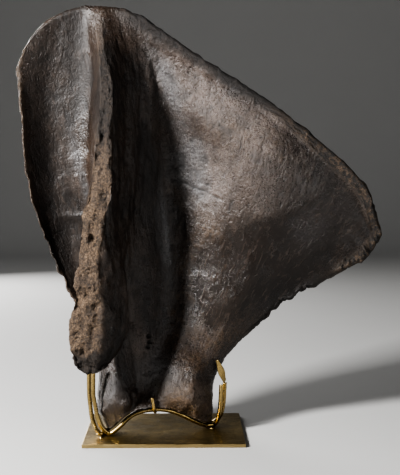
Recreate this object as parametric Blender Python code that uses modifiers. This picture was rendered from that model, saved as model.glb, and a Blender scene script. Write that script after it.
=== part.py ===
"""Fossil mammoth shoulder blade, standing on its socket in a brass cradle on a brass plate.

Metres, +Z up. The blade's outer face, with the spine, looks along -Y, its front edge is at -X and its
rear corner at +X. The origin is the centre of the plate's underside.
"""
import math

import bmesh
import bpy
import numpy as np
from mathutils import Vector
from mathutils.bvhtree import BVHTree

MM = 0.001
FIT_GAP = 0.3 * MM
BONE_CLEARANCE = 1.5 * MM

# Brass plate that everything stands on.
PLATE_WIDTH = 335 * MM
PLATE_DEPTH = 262 * MM
PLATE_THICKNESS = 8 * MM
PLATE_EDGE_RADIUS = 1.0 * MM

# Brass cradle: a bar under the socket's front rim and one under its rear rim, a prong, a clip, studs.
BAR_RADIUS = 4.6 * MM
STUD_RADIUS = 4.5 * MM
PRONG_RADIUS = 3.6 * MM
CLIP_THICKNESS = 3 * MM
# Width of the clip at shares of its length from the foot up.
CLIP_WIDTHS = ((0.0, 8 * MM), (0.42, 17 * MM), (1.0, 6 * MM))

# Height of the zero level of the guide lines and routes below over the plate's underside.
LIFT = 7 * MM

# Guide lines of the bone's outer face, front edge to rear edge. Each runs from the socket's front
# rim at level 0 to the upper border at level 8. A point is level, x, y, z in millimetres.
GUIDES = {
    "front edge": [
        (0, -119, -62, 16), (1, -140, -48, 62), (2, -135, -36, 122), (3, -133, -22, 190),
        (4, -209, -16, 312), (5, -257, -22, 425), (6, -288, -30, 550), (7, -299, -34, 690),
        (7.6, -305, -32, 764), (8, -293, -27, 806),
    ],
    "front lip": [
        (0, -112, -70, 18), (1, -131, -68, 64), (2, -128, -52, 118), (3, -127, -24, 190),
        (4, -197, -4, 315), (5, -241, 2, 427), (6, -270, -4, 556), (7, -278, -10, 700),
        (8, -268, -22, 842),
    ],
    "front fossa floor": [
        (0, -103, -75, 27), (1, -115, -80, 68), (2, -116, -62, 114), (3, -119, -26, 190),
        (4, -176, 6, 320), (5, -208, 17, 432), (6, -230, 18, 564), (7, -234, 12, 712),
        (8, -222, -12, 878),
    ],
    "spine front foot": [
        (0, -93, -77, 36), (1, -99, -84, 72), (2, -102, -70, 116), (3, -110, -30, 194),
        (4, -142, 6, 325), (5, -168, 14, 438), (6, -188, 12, 574), (7, -186, 6, 722),
        (8, -172, -8, 893),
    ],
    "crest front edge": [
        (0, -84, -77, 43), (1, -85, -82, 76), (2, -90, -70, 122), (2.6, -106, -58, 196),
        (2.85, -156, -116, 188), (3, -174, -145, 160), (3.4, -185, -150, 222), (3.7, -181, -151, 270),
        (4, -174, -150, 330),
        (5, -163, -130, 448), (6, -139, -109, 585), (7, -127, -82, 722), (7.6, -136, -48, 815),
        (8, -146, -14, 895),
    ],
    "crest rear edge": [
        (0, -75, -75, 49), (1, -72, -74, 80), (2, -78, -60, 128), (2.6, -92, -54, 202),
        (2.85, -132, -120, 188), (3, -139, -147, 148), (3.4, -129, -158, 228), (4, -132, -158, 335),
        (5, -121, -138, 450), (5.5, -103, -130, 518), (6, -106, -112, 586), (7, -104, -83, 722),
        (7.6, -124, -50, 815), (8, -128, -15, 896),
    ],
    "flange edge": [
        (0, -65, -72, 54), (1, -63, -58, 84), (2, -68, -46, 134), (2.6, -80, -52, 206),
        (2.85, -98, -84, 200), (3, -98, -104, 179), (3.4, -71, -86, 245), (4, -78, -86, 330),
        (5, -98, -104, 446), (6, -88, -70, 584), (7, -86, -48, 722), (8, -104, -12, 894),
    ],
    "slot behind the flange": [
        (0, -53, -69, 58), (1, -54, -43, 88), (2, -58, -36, 138), (2.7, -70, -44, 208),
        (3.4, -82, -44, 250), (4, -86, -44, 330), (5, -80, -52, 446), (6, -66, -30, 584),
        (7, -64, -18, 720), (8, -82, -9, 889),
    ],
    "spine rear foot": [
        (0, -38, -66, 61), (1, -34, -41, 92), (2, -36, -32, 140), (3, -38, -26, 214),
        (4, -40, -12, 326), (5, -42, -2, 446), (6, -28, 6, 580), (7, -30, 8, 718),
        (8, -58, -6, 880),
    ],
    "trough floor": [
        (0, -18, -62, 60), (1, -10, -48, 90), (2, -4, -34, 142), (3, 12, -2, 208),
        (4, 24, 22, 316), (5, 22, 34, 440), (6, 10, 36, 575), (7, -6, 26, 710), (8, -24, -4, 860),
    ],
    "trough rear bank": [
        (0, 8, -57, 55), (1, 22, -64, 86), (2, 32, -46, 138), (3, 46, -8, 202),
        (4, 64, 8, 302), (5, 78, 14, 425), (6, 78, 12, 558), (7, 64, 4, 690), (8, 34, -6, 820),
    ],
    "swell near side": [
        (0, 32, -51, 47), (1, 50, -66, 79), (2, 60, -44, 130), (3, 79, -8, 193),
        (4, 108, -6, 285), (5, 136, -12, 403), (6, 152, -18, 528), (7, 150, -22, 642),
        (8, 130, -12, 756),
    ],
    "swell crest": [
        (0, 55, -43, 36), (1, 72, -54, 69), (2, 77, -34, 118), (3, 101, -6, 178),
        (4, 144, -12, 264), (5, 190, -24, 366), (6, 228, -34, 475), (7, 244, -36, 584),
        (8, 234, -14, 687),
    ],
    "rear slope": [
        (0, 68, -36, 28), (1, 85, -38, 63), (2, 87, -20, 108), (3, 114, 0, 166),
        (4, 170, 0, 242), (5, 229, -6, 318), (6, 286, -14, 408), (7, 326, -18, 503),
        (8, 346, -8, 598),
    ],
    "rear corner slope": [
        (0, 80, -29, 22), (1, 93, -26, 60), (2, 93, -10, 102), (3, 121, 8, 159),
        (4, 184, 11, 230), (5, 246, 10, 291), (6, 312, 8, 352), (7, 374, 8, 424),
        (8, 434, 10, 512),
    ],
    "rear edge": [
        (0, 90, -22, 19), (1, 98, -13, 60), (2, 98, -1, 97), (3, 125, 14, 152),
        (4, 193, 20, 220), (5, 256, 24, 268), (6, 322, 27, 306), (7, 392, 30, 346),
        (7.6, 447, 32, 377), (8, 469, 32, 418),
    ],
}

# Distance from the outer face's ground, without the spine, back to the inner face at each level,
# at the front edge, in the front fossa, under the spine, in the rear blade and at the rear edge.
THICKNESS = {
    "level": (0, 1, 2, 3, 4, 5, 6, 7, 8),
    "front edge": (34, 44, 46, 34, 11, 8, 8, 9, 14),
    "front fossa": (66, 76, 66, 44, 12, 8, 8, 10, 20),
    "spine base": (98, 92, 76, 62, 36, 26, 21, 20, 24),
    "rear blade": (88, 78, 58, 36, 18, 13, 12, 13, 20),
    "rear edge": (34, 40, 42, 30, 22, 17, 14, 15, 18),
}
THICKNESS_PLACES = (0.0, 2.0, 6.0, 12.0, 15.0)

# Grid of the bone: columns between neighbouring guides, rows between neighbouring levels, and
# layers through the thickness round every edge. The inner face has every second point of the outer.
COLUMNS_BETWEEN = (2, 2, 4, 6, 6, 4, 4, 4, 4, 4, 4, 4, 4, 4, 4)
ROWS_BETWEEN = (4, 4, 9, 8, 6, 6, 5, 6)
LAYERS = 3

# Reliefs of the bone's surface: heights and depths, and the sizes of their features.
SOCKET_DISH = 9 * MM
EDGE_ROUNDING = 0.42
CREST_LUMP_HEIGHT = 7.5 * MM
CREST_LUMP_SIZE = 21 * MM
CREST_RIB_HEIGHT = 4.0 * MM
CREST_RIB_SIZE = 10 * MM
RIB_SQUEEZE = (1.0, 1.0, 0.3)
BREAK_DEPTH = 9.0 * MM
BREAK_PLACE = (3.06, 0.08)
FLUTE_DEPTH = 2.4 * MM
FLUTES_PER_GUIDE = 0.8
NECK_STRIP_HEIGHT = 4.5 * MM
NECK_STRIP_WIDTH = 0.5
NECK_GROOVE_DEPTH = 3.0 * MM
INNER_RIDGE_HEIGHT = 2.5 * MM
INNER_RIDGE_COUNT = 4
SEAM_HEIGHT = 2.4 * MM
SEAM_PLACE = 458 * MM
SEAM_WIDTH = 9 * MM
BORDER_HEIGHT = 2.5 * MM
RIM_LUMP_HEIGHT = 3.5 * MM
LOBE_LUMP_HEIGHT = 3.0 * MM
LOBE_LUMP_SIZE = 17 * MM
SWELL_HEIGHT = 1.6 * MM
SWELL_SIZE = 95 * MM
EDGE_RAGGEDNESS = 3.6 * MM
# Share of an edge's wear that the points near it follow, by their distance from it in guides.
WEAR_REACH = (0.0, 0.33, 0.66, 1.0)
WEAR_SHARE = (1.0, 0.6, 0.25, 0.0)
# Bites out of the bone's edges: level, width in levels, depth.
REAR_EDGE_BITES = ((4.62, 0.10, 5 * MM), (5.05, 0.13, 8 * MM), (5.55, 0.10, 7 * MM), (5.85, 0.14, 6 * MM))
FRONT_EDGE_BITES = ((4.1, 0.10, 5 * MM), (4.45, 0.12, 4 * MM), (4.8, 0.10, 5 * MM), (5.3, 0.14, 3 * MM))

# Centre lines of the brass bars, the prong and the clip, and the places of the studs, in millimetres.
FRONT_BAR = (
    (-147, -77, 158), (-148, -76, 97), (-144, -75, 67), (-139, -73, 41), (-134, -72, 27.5),
    (-125.5, -69, 14), (-114, -65, 6.3), (-102, -66, 14), (-89, -67, 26), (-77, -66, 38),
    (-66, -63, 45.5), (-51, -60, 51), (-36, -57, 53.5), (-16, -52, 54), (10, -46, 49.5),
    (30, -40, 41.5), (45, -35, 33.5), (60, -28, 24), (73, -20, 16.5), (86, -10, 9.5), (97, 0, 6.5),
    (105, 1, 7.5), (110.5, -5, 14), (114, -10, 24), (116.5, -13, 35), (118.5, -15, 48), (119.5, -16, 64),
    (120.5, -15, 84), (121.5, -13, 98),
)
REAR_BAR = (
    (-158, -60, 150), (-158, -60, 94), (-156, -59, 68), (-153, -60, 42), (-148.5, -63, 26.5),
    (-141, -69, 13), (-133.5, -73, 6.6), (-131, -58, 6.3), (-125, -40, 6.8), (-112, -18, 12),
    (-95, -2, 25), (-77, 8, 36), (-59, 12, 45), (-38, 14, 52), (-16, 14, 53), (10, 14, 49),
    (34, 15, 40), (56, 18, 30), (76, 21, 19), (90, 22, 10.5), (102, 21, 6.3), (111, 18, 12),
    (118, 15, 21), (123, 13, 33), (126, 12, 46), (128, 11, 62), (129, 10, 84), (129.5, 7, 99),
)
PRONG = ((-19, -61.5, 50), (-21, -66.5, 57), (-23, -68, 68), (-26, -66.5, 82))
CLIP_FOOT = (129.2, 6.6, 101)
CLIP_TIP = (112, -4, 150)
STUDS = {
    "front_left_stud": (-131, -84), "front_right_stud": (101, -9),
    "rear_left_stud": (-141, -52), "rear_right_stud": (103, 31.5),
}


def clear_scene():
    for thing in list(bpy.data.objects):
        bpy.data.objects.remove(thing, do_unlink=True)


def make_material(name, colour, metallic, roughness):
    material = bpy.data.materials.new(name)
    material.use_nodes = True
    shader = material.node_tree.nodes["Principled BSDF"]
    shader.inputs["Base Color"].default_value = (*colour, 1.0)
    shader.inputs["Metallic"].default_value = metallic
    shader.inputs["Roughness"].default_value = roughness
    material.diffuse_color = (*colour, 1.0)
    return material


def make_collection(name):
    collection = bpy.data.collections.new(name)
    bpy.context.scene.collection.children.link(collection)
    return collection


def curve_slopes(places, values):
    """Slopes of the smooth curve through the values: zero at a turn, else a harmonic mean."""
    steps = np.diff(places).reshape((-1,) + (1,) * (values.ndim - 1))
    rises = np.diff(values, axis=0) / steps
    before, after = rises[:-1], rises[1:]
    same_way = before * after > 0
    total = np.where(same_way, before + after, 1.0)
    inner = np.where(same_way, 2.0 * before * after / total, 0.0)
    return np.concatenate([rises[:1], inner, rises[-1:]])


def smooth_through(places, values, wanted):
    """Value at each wanted place of the smooth curve that passes through every given value."""
    places = np.asarray(places, float)
    values = np.asarray(values, float)
    slopes = curve_slopes(places, values)
    left = np.clip(np.searchsorted(places, wanted, side="right") - 1, 0, len(places) - 2)
    width = places[left + 1] - places[left]
    part = (wanted - places[left]) / width
    shape = (-1,) + (1,) * (values.ndim - 1)
    part, width = part.reshape(shape), width.reshape(shape)
    start, end = values[left], values[left + 1]
    rise_start, rise_end = slopes[left] * width, slopes[left + 1] * width
    return (start * (1 + 2 * part) * (1 - part) ** 2 + end * part ** 2 * (3 - 2 * part)
            + rise_start * part * (1 - part) ** 2 + rise_end * part ** 2 * (part - 1))


def spread(counts):
    """Places along whole-numbered stations, with the given number of steps between neighbours."""
    places = [np.arange(count) / count + station for station, count in enumerate(counts)]
    return np.append(np.concatenate(places), len(counts))


def bump(values, centre, width):
    """Smooth hump of height one at the centre, fading over the width."""
    return np.exp(-((values - centre) / width) ** 2)


def ramp(values, start, end):
    """Smooth step from zero at the start to one at the end, which may lie below the start."""
    part = np.clip((values - start) / (end - start), 0, 1)
    return part * part * (3 - 2 * part)


def grain(points, size, seed):
    """Smooth random field between -1 and 1 with features of the given size."""
    scaled = points / size + seed * 17.31
    cell = np.floor(scaled)
    part = scaled - cell
    part = part * part * (3 - 2 * part)
    total = np.zeros(points.shape[:-1])
    for corner in np.ndindex(2, 2, 2):
        place = cell + corner
        mixed = place @ np.array([127.1, 311.7, 74.7]) + seed * 3.7
        value = np.modf(np.abs(np.sin(mixed)) * 43758.5453)[0]
        weight = np.prod(np.where(np.array(corner) == 1, part, 1 - part), axis=-1)
        total += weight * (2 * value - 1)
    return total


def guide_place(name):
    return list(GUIDES).index(name)


def guide_lines(rows):
    """Points of every guide line at the rows."""
    lines = [np.array(points, float) for points in GUIDES.values()]
    return np.array([smooth_through(line[:, 0], line[:, 1:] * MM, rows) for line in lines])


def ground_lines(lines):
    """The guide lines as they would be without the spine, which the inner face follows."""
    first, last = guide_place("spine front foot"), guide_place("spine rear foot")
    share = np.linspace(0, 1, last - first + 1)[:, None, None]
    ground = lines.copy()
    ground[first:last + 1] = lines[first] * (1 - share) + lines[last] * share
    return ground


def thickness_field(columns, rows):
    """Thickness of the bone behind the ground face at each column and row."""
    across = [smooth_through(THICKNESS["level"], np.array(THICKNESS[name], float) * MM, rows)
              for name in THICKNESS if name != "level"]
    field = smooth_through(THICKNESS_PLACES, np.array(across), columns)
    blade = np.clip((rows - 3.5) / 2, 0, 1)[None, :]
    ridges = np.cos(columns / len(GUIDES) * 2 * math.pi * INNER_RIDGE_COUNT)[:, None]
    return field + INNER_RIDGE_HEIGHT * blade * (ridges + 1) / 2


def surface_normals(face):
    """Outward unit normals of the outer face, from its own neighbouring points."""
    normal = np.cross(np.gradient(face, axis=0), np.gradient(face, axis=1))
    return normal / np.maximum(np.linalg.norm(normal, axis=-1, keepdims=True), 1e-12)


def outer_relief(face, columns, rows):
    """Height added to the outer face: broken crest, flutes, neck strip, lumpy rims and lobes, a seam."""
    c, r = columns[:, None], rows[None, :]
    crest_middle = guide_place("crest front edge") + 0.5
    flank_middle = guide_place("slot behind the flange")
    strip_middle = flank_middle + 0.7
    crest = bump(c, crest_middle, 1.0) * np.clip(r - 2.6, 0, 1) * np.clip(7.3 - r, 0, 1)
    flank = bump(c, flank_middle, 1.5) * np.clip(r - 2.2, 0, 1) * np.clip(7.6 - r, 0, 1)
    strip = ramp(r, 2.1, 2.6) * ramp(r, 5.0, 4.2)
    border = ramp(r, 7.66, 7.8) * ramp(c, 6, 9)
    rear_rim = ramp(c, 14.1, 14.6) * ramp(r, 5.6, 6.4)
    lobes = np.clip(2.2 - r, 0, 1)
    in_fossa = np.clip(c - 0.3, 0, 1) * np.clip(3.6 - c, 0, 1)
    height = CREST_LUMP_HEIGHT * crest * grain(face, CREST_LUMP_SIZE, 1)
    height += CREST_RIB_HEIGHT * (crest + 0.6 * flank) * grain(face * RIB_SQUEEZE, CREST_RIB_SIZE, 7)
    height -= BREAK_DEPTH * bump(c, crest_middle + 0.3, 0.7) * bump(r, *BREAK_PLACE)
    height += FLUTE_DEPTH * flank * np.cos(2 * math.pi * FLUTES_PER_GUIDE * (c - crest_middle))
    height += NECK_STRIP_HEIGHT * strip * bump(c, strip_middle, NECK_STRIP_WIDTH)
    height -= NECK_GROOVE_DEPTH * strip * bump(c, strip_middle + 0.9, 0.3)
    height += (BORDER_HEIGHT + RIM_LUMP_HEIGHT * grain(face, CREST_LUMP_SIZE, 2)) * np.maximum(border, rear_rim)
    height += LOBE_LUMP_HEIGHT * lobes * grain(face, LOBE_LUMP_SIZE, 3)
    height += SEAM_HEIGHT * in_fossa * bump(face[..., 2], SEAM_PLACE, SEAM_WIDTH)
    height += SWELL_HEIGHT * np.clip(r - 3, 0, 1) * grain(face, SWELL_SIZE, 4)
    return height


def towards(start, end):
    """Unit directions from the start points to the end points."""
    way = end - start
    return way / np.linalg.norm(way, axis=-1, keepdims=True)


def break_edges(face, columns, rows):
    """Moves the outermost points inwards where the thin edges are broken away or worn ragged."""
    for edge, bites, away in ((0, FRONT_EDGE_BITES, columns), (-1, REAR_EDGE_BITES, columns[-1] - columns)):
        line = face[edge]
        wear = EDGE_RAGGEDNESS * (grain(line, CREST_LUMP_SIZE, 5) - 0.3) * np.clip(rows - 3.4, 0, 1)
        depth = sum(size * bump(rows, level, width) for level, width, size in bites) - wear
        inner = np.argmin(np.abs(away - WEAR_REACH[-1]))
        share = np.interp(away, WEAR_REACH, WEAR_SHARE)[:, None, None]
        face = face + share * (towards(line, face[inner]) * depth[:, None])
    top = face[:, -1]
    wear = EDGE_RAGGEDNESS * grain(top, CREST_LUMP_SIZE, 6) * np.clip(columns / 4, 0, 1)
    step = towards(face[:, -3], top) * wear[:, None]
    return face + ramp(rows, 7.7, 8.0)[:, None] * step[:, None]


def edge_directions(face):
    """Outward directions at the side and upper edges of the face, zero elsewhere."""
    away = np.zeros_like(face)
    away[0] += face[0] - face[1]
    away[-1] += face[-1] - face[-2]
    away[:, -1] += face[:, -1] - face[:, -2]
    length = np.linalg.norm(away, axis=-1, keepdims=True)
    return away / np.maximum(length, 1e-12) * (length > 0)


def bone_lattice(columns, rows, layers):
    """Points of the bone on a lattice: layers from the outer to the inner face, columns, rows."""
    lines = guide_lines(rows)
    guides = np.arange(len(lines))
    outer = smooth_through(guides, lines, columns)
    outer = outer + surface_normals(outer) * outer_relief(outer, columns, rows)[..., None]
    outer = break_edges(outer, columns, rows)
    ground = break_edges(smooth_through(guides, ground_lines(lines), columns), columns, rows)
    depth = thickness_field(columns, rows)
    inner = ground + depth[..., None] * np.array([0.0, 1.0, 0.0])
    share = np.linspace(0, 1, layers)[:, None, None, None]
    roundness = 4 * share * (1 - share)
    lattice = outer * (1 - share) + inner * share
    lattice += roundness * EDGE_ROUNDING * edge_directions(ground) * depth[..., None]
    dish = SOCKET_DISH * np.sin(math.pi * columns / columns[-1])[:, None] ** 0.7
    lattice[:, :, 0] += roundness[:, :, 0] * towards(outer[:, 0], outer[:, 1]) * dish
    return lattice + np.array([0.0, 0.0, LIFT])


def quads(grid):
    """Quads between neighbouring points of a grid of point numbers."""
    return np.stack([grid[:-1, :-1], grid[1:, :-1], grid[1:, 1:], grid[:-1, 1:]], -1).reshape(-1, 4)


def wide_faces(grid):
    """Faces over every second point of a grid; those at its border take in the points between."""
    faces = []
    last_column, last_row = grid.shape[0] - 1, grid.shape[1] - 1
    for i in range(0, last_column, 2):
        for j in range(0, last_row, 2):
            ring = [(i, j), (i + 2, j), (i + 2, j + 2), (i, j + 2)]
            if j + 2 == last_row:
                ring.insert(3, (i + 1, j + 2))
            if i + 2 == last_column:
                ring.insert(2, (i + 2, j + 1))
            if j == 0:
                ring.insert(1, (i + 1, j))
            if i == 0:
                ring.append((i, j + 1))
            faces.append([int(grid[place]) for place in ring])
    return faces


def lattice_faces(layers, wide, high):
    """Faces of the six sides of a lattice, all turned outwards."""
    index = np.arange(layers * wide * high).reshape(layers, wide, high)
    sides = [
        quads(index[0]), quads(index[:, 0].T), quads(index[:, -1].T)[:, ::-1],
        quads(index[:, :, 0]), quads(index[:, :, -1])[:, ::-1],
    ]
    return np.concatenate(sides).tolist() + [face[::-1] for face in wide_faces(index[-1])]


def make_shoulder_blade(collection, material):
    lattice = bone_lattice(spread(COLUMNS_BETWEEN), spread(ROWS_BETWEEN), LAYERS)
    faces = lattice_faces(*lattice.shape[:3])
    used = sorted({point for face in faces for point in face})
    number = {point: place for place, point in enumerate(used)}
    mesh = bpy.data.meshes.new("shoulder_blade")
    mesh.from_pydata(lattice.reshape(-1, 3)[used].tolist(), [], [[number[point] for point in face] for face in faces])
    mesh.update()
    mesh.shade_smooth()
    mesh.materials.append(material)
    bone = bpy.data.objects.new("shoulder_blade", mesh)
    collection.objects.link(bone)
    return bone


def finish_mesh(collection, material, name, cage):
    mesh = bpy.data.meshes.new(name)
    cage.to_mesh(mesh)
    cage.free()
    mesh.materials.append(material)
    piece = bpy.data.objects.new(name, mesh)
    collection.objects.link(piece)
    return piece


def make_base_plate(collection, material):
    cage = bmesh.new()
    bmesh.ops.create_cube(cage, size=1.0)
    bmesh.ops.scale(cage, vec=(PLATE_WIDTH, PLATE_DEPTH, PLATE_THICKNESS), verts=cage.verts)
    bmesh.ops.translate(cage, vec=(0, 0, PLATE_THICKNESS / 2), verts=cage.verts)
    plate = finish_mesh(collection, material, "base_plate", cage)
    bevel = plate.modifiers.new("rounded edges", "BEVEL")
    bevel.width = PLATE_EDGE_RADIUS
    bevel.segments = 2
    return plate


def smooth_route(points, count):
    """Evenly spread points of the smooth curve through the given millimetre points, in metres."""
    points = np.array(points, float) * MM + np.array([0.0, 0.0, LIFT])
    reach = np.insert(np.cumsum(np.linalg.norm(np.diff(points, axis=0), axis=1)), 0, 0.0)
    return smooth_through(reach, points, np.linspace(0, reach[-1], count))


def keep_clear(route, bone, radius):
    """The route, moved away from the bone and up off the plate wherever its bar would touch them."""
    tree = BVHTree.FromPolygons([v.co for v in bone.data.vertices], [p.vertices for p in bone.data.polygons])
    clear = []
    for point in map(Vector, route):
        nearest, _, _, reach = tree.find_nearest(point)
        if reach < radius + BONE_CLEARANCE:
            point = nearest + (point - nearest) * ((radius + BONE_CLEARANCE) / reach)
        point.z = max(point.z, PLATE_THICKNESS + FIT_GAP + radius)
        clear.append(point)
    return clear


def make_bar(collection, material, name, route, radius):
    """Round brass bar along the route."""
    curve = bpy.data.curves.new(name, "CURVE")
    curve.dimensions = "3D"
    curve.bevel_depth = radius
    curve.bevel_resolution = 1
    curve.use_fill_caps = True
    spline = curve.splines.new("POLY")
    spline.points.add(len(route) - 1)
    for place, point in zip(spline.points, route):
        place.co = (*point, 1.0)
    curve.materials.append(material)
    bar = bpy.data.objects.new(name, curve)
    collection.objects.link(bar)
    return bar


def make_stud(collection, material, name, x, y):
    """Domed stud beside a bar's lowest point, standing on the plate."""
    cage = bmesh.new()
    bmesh.ops.create_uvsphere(cage, u_segments=8, v_segments=6, radius=STUD_RADIUS)
    bmesh.ops.scale(cage, vec=(1, 1, 0.8), verts=cage.verts)
    cut = bmesh.ops.bisect_plane(cage, geom=cage.verts[:] + cage.edges[:] + cage.faces[:],
                                 plane_co=(0, 0, 0), plane_no=(0, 0, -1), clear_outer=True)
    rim = [part for part in cut["geom_cut"] if isinstance(part, bmesh.types.BMEdge)]
    bmesh.ops.contextual_create(cage, geom=rim)
    bmesh.ops.recalc_face_normals(cage, faces=cage.faces)
    stud = finish_mesh(collection, material, name, cage)
    stud.location = (x * MM, y * MM, PLATE_THICKNESS + FIT_GAP)
    return stud


def make_clip(collection, material):
    """Flat leaf on the end of the rear bar's right arm, leaning over the edge of the bone's neck."""
    lift = Vector((0, 0, LIFT))
    foot, tip = Vector(CLIP_FOOT) * MM + lift, Vector(CLIP_TIP) * MM + lift
    cage = bmesh.new()
    corners = ((-1, -1), (1, -1), (1, 1), (-1, 1))
    rings = [[cage.verts.new((x * width / 2, y * CLIP_THICKNESS / 2, share * (tip - foot).length))
              for x, y in corners] for share, width in CLIP_WIDTHS]
    for lower, upper in zip(rings, rings[1:]):
        for a in range(len(corners)):
            b = (a + 1) % len(corners)
            cage.faces.new((lower[a], lower[b], upper[b], upper[a]))
    cage.faces.new(rings[0][::-1])
    cage.faces.new(rings[-1])
    clip = finish_mesh(collection, material, "edge_clip", cage)
    clip.location = foot
    clip.rotation_euler = (tip - foot).to_track_quat("Z", "X").to_euler()
    return clip


def main():
    clear_scene()
    collection = make_collection("mammoth shoulder blade on a stand")
    bone = make_material("fossil bone", (0.075, 0.052, 0.042), 0.0, 0.42)
    brass = make_material("aged brass", (0.55, 0.40, 0.16), 1.0, 0.33)
    blade = make_shoulder_blade(collection, bone)
    make_base_plate(collection, brass)
    front_route = keep_clear(smooth_route(FRONT_BAR, 33), blade, BAR_RADIUS)
    rear_route = keep_clear(smooth_route(REAR_BAR, 33), blade, BAR_RADIUS)
    prong_route = keep_clear(smooth_route(PRONG, 7), blade, PRONG_RADIUS)
    make_bar(collection, brass, "cradle_front_bar", front_route, BAR_RADIUS)
    make_bar(collection, brass, "cradle_rear_bar", rear_route, BAR_RADIUS)
    make_bar(collection, brass, "front_prong", prong_route, PRONG_RADIUS)
    make_clip(collection, brass)
    for name, (x, y) in STUDS.items():
        make_stud(collection, brass, name, x, y)


main()
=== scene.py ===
import math

import bpy
import numpy as np
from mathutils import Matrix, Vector
from mathutils.bvhtree import BVHTree


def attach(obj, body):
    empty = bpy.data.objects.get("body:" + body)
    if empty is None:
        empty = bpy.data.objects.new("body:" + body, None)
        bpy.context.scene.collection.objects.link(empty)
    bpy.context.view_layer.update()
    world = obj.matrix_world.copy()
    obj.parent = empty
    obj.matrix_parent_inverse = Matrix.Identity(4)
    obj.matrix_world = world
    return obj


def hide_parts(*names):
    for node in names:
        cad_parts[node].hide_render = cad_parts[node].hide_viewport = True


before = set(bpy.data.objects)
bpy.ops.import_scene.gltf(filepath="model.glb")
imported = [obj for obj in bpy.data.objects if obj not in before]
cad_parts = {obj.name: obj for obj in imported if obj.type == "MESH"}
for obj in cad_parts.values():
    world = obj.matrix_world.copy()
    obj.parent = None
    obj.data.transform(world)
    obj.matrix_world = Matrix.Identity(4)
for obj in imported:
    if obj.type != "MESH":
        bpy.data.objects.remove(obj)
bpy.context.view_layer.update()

mm = 0.001

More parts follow.
